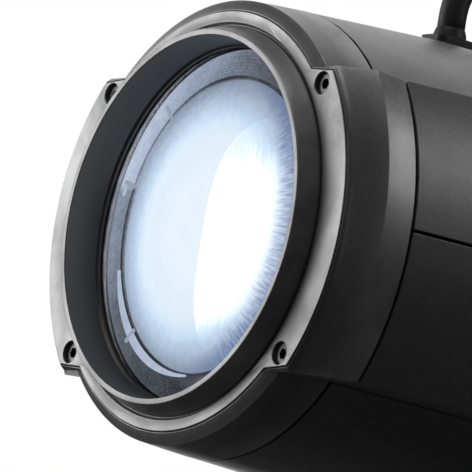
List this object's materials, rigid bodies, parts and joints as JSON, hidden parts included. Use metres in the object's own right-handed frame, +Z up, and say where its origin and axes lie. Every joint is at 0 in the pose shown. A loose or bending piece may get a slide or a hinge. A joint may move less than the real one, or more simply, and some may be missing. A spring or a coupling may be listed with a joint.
{
  "type": "follow spot",
  "caption": "Long manual follow spot: lobed front bezel and hood around a large lens, winged body with inner optics, U-yoke, and a heavy round swivel base.",
  "frame": {"origin": "centre of the base plate's underside, on the pan axis", "axes": "+Z up, -Y the way the beam leaves, +X to the right seen from the front"},
  "size_m": [0.42, 0.9906, 0.7055],
  "materials": {
    "grey_coat": "satin fine-grained powder coat, mid grey",
    "dark_coat": "satin powder coat, anthracite",
    "black_coat": "fine textured powder coat, black",
    "steel": "machined steel",
    "aluminium": "plain aluminium",
    "black_plastic": "fine textured black plastic",
    "rubber": "black rubber",
    "glass": "clear polished optical glass",
    "led_board": "white light-emitter board"
  },
  "bodies": {
    "base": {"base_plate": "black_coat", "pedestal": "black_coat"},
    "pan_lock": {"pan_lock_knob": "black_plastic"},
    "yoke": {"pan_spindle": "steel", "yoke_crossbar": "black_coat", "yoke_arm_left": "black_coat", "yoke_arm_right": "black_coat"},
    "tilt_lock_left": {"tilt_lock_knob_left": "black_plastic"},
    "tilt_lock_right": {"tilt_lock_knob_right": "black_plastic"},
    "head": {"baffle_tube": "black_coat", "bezel_screw_1": "steel", "bezel_screw_2": "steel", "bezel_screw_3": "steel", "bezel_screw_4": "steel", "bottom_cover": "dark_coat", "chassis_tray": "aluminium", "condenser_lens": "glass", "control_panel": "black_plastic", "control_rod": "steel", "fan_frame": "black_plastic", "front_bezel": "grey_coat", "front_bulkhead": "aluminium", "front_lens": "glass", "front_shell": "dark_coat", "gate_bulkhead": "aluminium", "guide_rod_left": "steel", "guide_rod_right": "steel", "heat_sink": "aluminium", "iris_housing": "black_coat", "lamp_bulkhead": "aluminium", "led_module": "led_board", "lens_clamp_ring": "black_coat", "lens_gasket": "rubber", "mid_bulkhead": "aluminium", "power_inlet": "black_plastic", "power_supply": "aluminium", "rear_handle": "black_plastic", "rear_panel": "dark_coat", "side_cover_lower_left": "dark_coat", "side_cover_lower_right": "dark_coat", "side_cover_upper_left": "dark_coat", "side_cover_upper_right": "dark_coat", "top_cover": "grey_coat", "top_handle": "black_plastic", "trunnion_left": "steel", "trunnion_right": "steel"},
    "focus_slide": {"focus_carriage": "aluminium", "focus_lens": "glass", "focus_knob": "black_plastic"},
    "zoom_slide": {"zoom_carriage": "aluminium", "zoom_lens": "glass", "zoom_knob": "black_plastic"},
    "iris": {"iris_ring": "steel"},
    "dowser": {"dowser_flag": "black_coat"},
    "color_1": {"color_frame_1": "aluminium"},
    "color_2": {"color_frame_2": "aluminium"},
    "color_3": {"color_frame_3": "aluminium"},
    "fan": {"fan_rotor": "black_plastic"},
    "switch": {"power_switch": "black_plastic"}
  },
  "joints": [
    {"name": "pan", "type": "hinge", "parent": "base", "child": "yoke", "pos_m": [0, 0, 0.2012], "axis": [0, 0, 1], "range_deg": [-170, 170]},
    {"name": "pan_lock_turn", "type": "hinge", "parent": "base", "child": "pan_lock", "pos_m": [0, 0.053, 0.1712], "axis": [0, 1, 0], "range_deg": [0, 360]},
    {"name": "tilt", "type": "hinge", "parent": "yoke", "child": "head", "pos_m": [0, 0, 0.52], "axis": [1, 0, 0], "range_deg": [-45, 45]},
    {"name": "tilt_lock_left_turn", "type": "hinge", "parent": "yoke", "child": "tilt_lock_left", "pos_m": [-0.1766, 0, 0.52], "axis": [1, 0, 0], "range_deg": [0, 360]},
    {"name": "tilt_lock_right_turn", "type": "hinge", "parent": "yoke", "child": "tilt_lock_right", "pos_m": [0.1766, 0, 0.52], "axis": [1, 0, 0], "range_deg": [0, 360]},
    {"name": "focus", "type": "slide", "parent": "head", "child": "focus_slide", "axis": [0, 1, 0], "range_m": [0, 0.0895]},
    {"name": "zoom", "type": "slide", "parent": "head", "child": "zoom_slide", "axis": [0, 1, 0], "range_m": [0, 0.0895]},
    {"name": "iris_turn", "type": "hinge", "parent": "head", "child": "iris", "pos_m": [0, 0.076, 0.52], "axis": [0, 1, 0], "range_deg": [0, 40]},
    {"name": "dowser_swing", "type": "hinge", "parent": "head", "child": "dowser", "pos_m": [0, 0.104, 0.61503], "axis": [0, 1, 0], "range_deg": [0, 45]},
    {"name": "color_1_swing", "type": "hinge", "parent": "head", "child": "color_1", "pos_m": [0, 0.116, 0.61503], "axis": [0, 1, 0], "range_deg": [0, 45]},
    {"name": "color_2_swing", "type": "hinge", "parent": "head", "child": "color_2", "pos_m": [0, 0.128, 0.61503], "axis": [0, 1, 0], "range_deg": [0, 45]},
    {"name": "color_3_swing", "type": "hinge", "parent": "head", "child": "color_3", "pos_m": [0, 0.14, 0.61503], "axis": [0, 1, 0], "range_deg": [0, 45]},
    {"name": "fan_spin", "type": "hinge", "parent": "head", "child": "fan", "pos_m": [0, 0.4362, 0.52], "axis": [0, 1, 0], "continuous": true},
    {"name": "switch_rock", "type": "hinge", "parent": "head", "child": "switch", "pos_m": [0.034, 0.454, 0.42459], "axis": [1, 0, 0], "range_deg": [-14, 0]}
  ]
}
